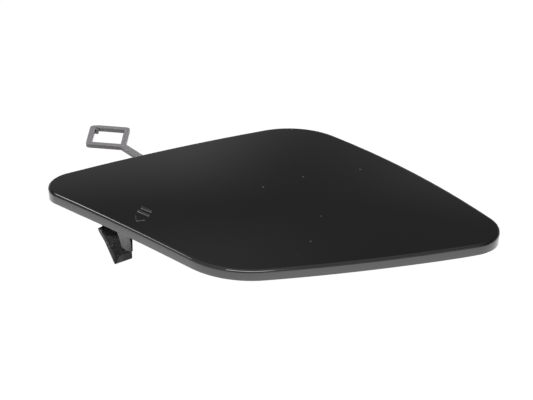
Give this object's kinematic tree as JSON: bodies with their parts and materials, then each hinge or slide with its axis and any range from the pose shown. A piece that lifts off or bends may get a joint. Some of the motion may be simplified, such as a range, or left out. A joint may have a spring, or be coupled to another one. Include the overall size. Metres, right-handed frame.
{
  "type": "bumper tow hook cover",
  "caption": "Rounded rhombus cover plate, slightly crowned, with barbed snap clips underneath and a strap with a square eye; closes the towing eye hole in a bumper.",
  "frame": {"origin": "centre of the bounding box in X and Y, on the plane that the clip tips stand on", "axes": "+X along the plate's long diagonal, +Y towards its back corner, +Z out of the glossy show face"},
  "size_m": [0.107, 0.0698, 0.0136],
  "materials": {
    "black_moulding": "gloss show face, satin rim and underside"
  },
  "bodies": {
    "root": {"tow_hook_cover": "black_moulding"}
  },
  "joints": []
}
